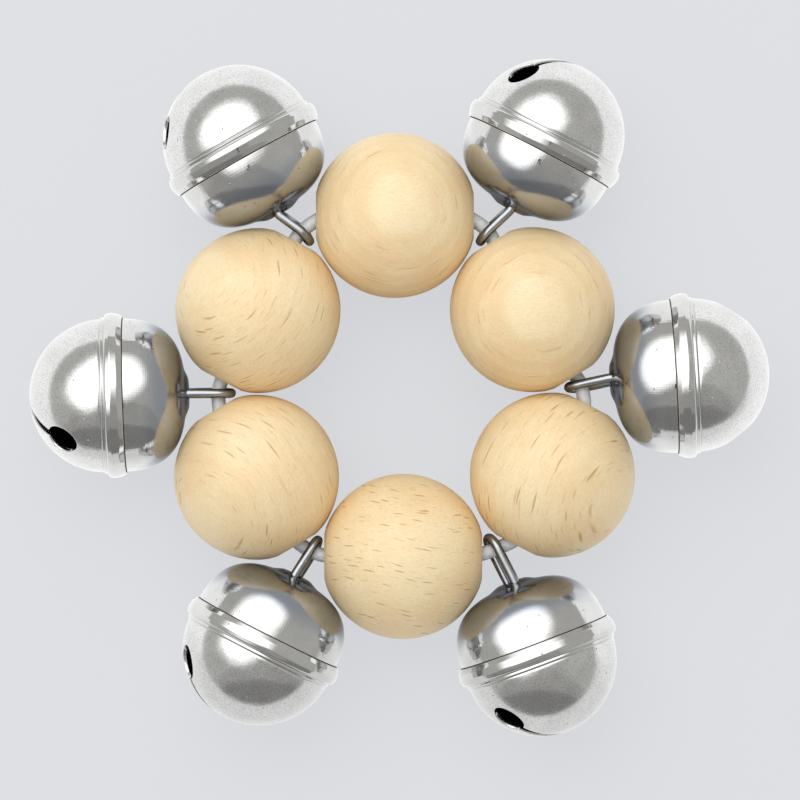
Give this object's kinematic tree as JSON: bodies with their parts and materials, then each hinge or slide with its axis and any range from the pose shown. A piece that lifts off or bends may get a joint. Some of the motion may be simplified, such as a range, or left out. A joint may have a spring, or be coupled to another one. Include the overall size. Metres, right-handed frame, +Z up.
{
  "type": "bell bracelet",
  "caption": "Bracelet of round wooden beads on an elastic cord, with slit metal jingle bells hung on the cord between the beads, shaken on the wrist to ring.",
  "frame": {"origin": "on the table under the middle of the whole bracelet as it lies flat", "axes": "+Z up through the ring, +X across the ring towards the bell at its right, +Y towards the pair of bells at the top of the picture"},
  "size_m": [0.0896, 0.082, 0.02],
  "materials": {
    "cord": "satin",
    "beads": "smooth, unvarnished",
    "bell_shells": "polished",
    "wire_loops": "polished",
    "pellets": "dull"
  },
  "bodies": {
    "cord": {"elastic_cord": "cord"},
    "bead_1": {"wood_bead_1": "beads"},
    "bead_2": {"wood_bead_2": "beads"},
    "bead_3": {"wood_bead_3": "beads"},
    "bead_4": {"wood_bead_4": "beads"},
    "bead_5": {"wood_bead_5": "beads"},
    "bead_6": {"wood_bead_6": "beads"},
    "bell_1": {"bell_1_upper_shell": "bell_shells", "bell_1_lower_shell": "bell_shells", "bell_1_wire_loop": "wire_loops"},
    "bell_2": {"bell_2_upper_shell": "bell_shells", "bell_2_lower_shell": "bell_shells", "bell_2_wire_loop": "wire_loops"},
    "bell_3": {"bell_3_upper_shell": "bell_shells", "bell_3_lower_shell": "bell_shells", "bell_3_wire_loop": "wire_loops"},
    "bell_4": {"bell_4_upper_shell": "bell_shells", "bell_4_lower_shell": "bell_shells", "bell_4_wire_loop": "wire_loops"},
    "bell_5": {"bell_5_upper_shell": "bell_shells", "bell_5_lower_shell": "bell_shells", "bell_5_wire_loop": "wire_loops"},
    "bell_6": {"bell_6_upper_shell": "bell_shells", "bell_6_lower_shell": "bell_shells", "bell_6_wire_loop": "wire_loops"},
    "pellet_1": {"bell_1_pellet": "pellets"},
    "pellet_2": {"bell_2_pellet": "pellets"},
    "pellet_3": {"bell_3_pellet": "pellets"},
    "pellet_4": {"bell_4_pellet": "pellets"},
    "pellet_5": {"bell_5_pellet": "pellets"},
    "pellet_6": {"bell_6_pellet": "pellets"}
  },
  "joints": [
    {"name": "bead_1_spin", "type": "hinge", "parent": "cord", "child": "bead_1", "pos_m": [-0.01712, 0.01056, 0.01], "axis": [0.4672, 0.8841, 0], "continuous": true},
    {"name": "bead_2_spin", "type": "hinge", "parent": "cord", "child": "bead_2", "pos_m": [-0.00053, 0.02209, 0.01], "axis": [1, 0.0035, 0], "continuous": true},
    {"name": "bead_3_spin", "type": "hinge", "parent": "cord", "child": "bead_3", "pos_m": [0.01614, 0.01068, 0.01], "axis": [0.5188, -0.8549, 0], "continuous": true},
    {"name": "bead_4_spin", "type": "hinge", "parent": "cord", "child": "bead_4", "pos_m": [0.01856, -0.00937, 0.01], "axis": [-0.4579, -0.889, 0], "continuous": true},
    {"name": "bead_5_spin", "type": "hinge", "parent": "cord", "child": "bead_5", "pos_m": [0.00047, -0.01923, 0.01], "axis": [-1, -0.002, 0], "continuous": true},
    {"name": "bead_6_spin", "type": "hinge", "parent": "cord", "child": "bead_6", "pos_m": [-0.0173, -0.00963, 0.01], "axis": [-0.5084, 0.8611, 0], "continuous": true},
    {"name": "bell_1_swing", "type": "hinge", "parent": "cord", "child": "bell_1", "pos_m": [-0.01175, 0.02023, 0.01], "axis": [0.7522, 0.6589, 0], "range_deg": [-20, 20]},
    {"name": "bell_2_swing", "type": "hinge", "parent": "cord", "child": "bell_2", "pos_m": [0.0107, 0.02023, 0.01], "axis": [0.722, -0.6919, 0], "range_deg": [-20, 20]},
    {"name": "bell_3_swing", "type": "hinge", "parent": "cord", "child": "bell_3", "pos_m": [0.02207, 0.00143, 0.01], "axis": [0.2746, -0.9615, 0], "range_deg": [-20, 20]},
    {"name": "bell_4_swing", "type": "hinge", "parent": "cord", "child": "bell_4", "pos_m": [0.01156, -0.01838, 0.01], "axis": [-0.9144, -0.4048, 0], "range_deg": [-20, 20]},
    {"name": "bell_5_swing", "type": "hinge", "parent": "cord", "child": "bell_5", "pos_m": [-0.01061, -0.01862, 0.01], "axis": [-0.8988, 0.4383, 0], "range_deg": [-20, 20]},
    {"name": "bell_6_swing", "type": "hinge", "parent": "cord", "child": "bell_6", "pos_m": [-0.0219, 0.00059, 0.01], "axis": [0.0696, 0.9976, 0], "range_deg": [-20, 20]},
    {"name": "pellet_1_roll", "type": "hinge", "parent": "bell_1", "child": "pellet_1", "pos_m": [-0.01896, 0.03029, 0.01], "axis": [-0.4879, 0.8729, 0], "continuous": true},
    {"name": "pellet_2_roll", "type": "hinge", "parent": "bell_2", "child": "pellet_2", "pos_m": [0.0176, 0.03101, 0.01], "axis": [0.4587, 0.8886, 0], "continuous": true},
    {"name": "pellet_3_roll", "type": "hinge", "parent": "bell_3", "child": "pellet_3", "pos_m": [0.03468, 0.00268, 0.01], "axis": [0.9982, 0.0593, 0], "continuous": true},
    {"name": "pellet_4_roll", "type": "hinge", "parent": "bell_4", "child": "pellet_4", "pos_m": [0.01675, -0.03092, 0.01], "axis": [0.3486, -0.9373, 0], "continuous": true},
    {"name": "pellet_5_roll", "type": "hinge", "parent": "bell_5", "child": "pellet_5", "pos_m": [-0.01656, -0.02964, 0.01], "axis": [-0.4551, -0.8904, 0], "continuous": true},
    {"name": "pellet_6_roll", "type": "hinge", "parent": "bell_6", "child": "pellet_6", "pos_m": [-0.03466, 0.00029, 0.01], "axis": [-0.9996, -0.0296, 0], "continuous": true}
  ]
}
